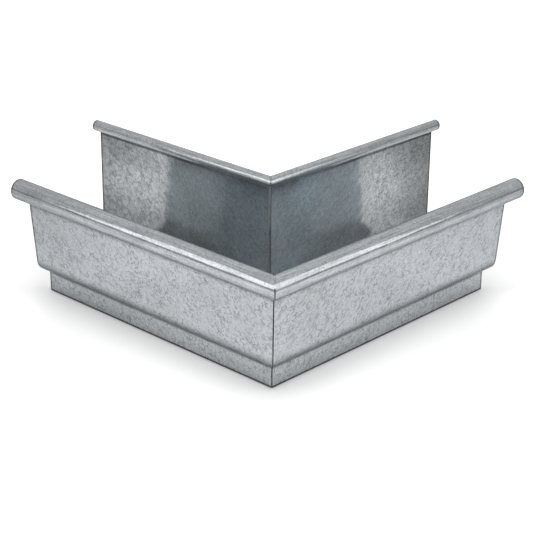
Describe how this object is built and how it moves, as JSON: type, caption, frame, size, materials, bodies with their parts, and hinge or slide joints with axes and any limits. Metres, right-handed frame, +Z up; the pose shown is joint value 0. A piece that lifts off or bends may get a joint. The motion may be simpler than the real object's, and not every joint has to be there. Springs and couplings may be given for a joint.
{
  "type": "gutter external angle",
  "caption": "Outside corner for a rain gutter: galvanised sheet channels mitred at a right angle, with a rolled front bead, stepped face and taller back wall, open at the top and ends.",
  "frame": {"origin": "foot of the fascia corner: where both fascia planes meet the plane under the sole", "axes": "+X along the right arm to its open end, +Y along the left arm to its open end, +Z up"},
  "size_m": [0.378, 0.378, 0.178],
  "materials": {
    "galvanised_sheet": "hot-dip galvanised, satin with a fine spangle",
    "solder": "dull soft solder"
  },
  "bodies": {
    "root": {"left_arm": "galvanised_sheet", "right_arm": "galvanised_sheet", "mitre_solder": "solder"}
  },
  "joints": []
}
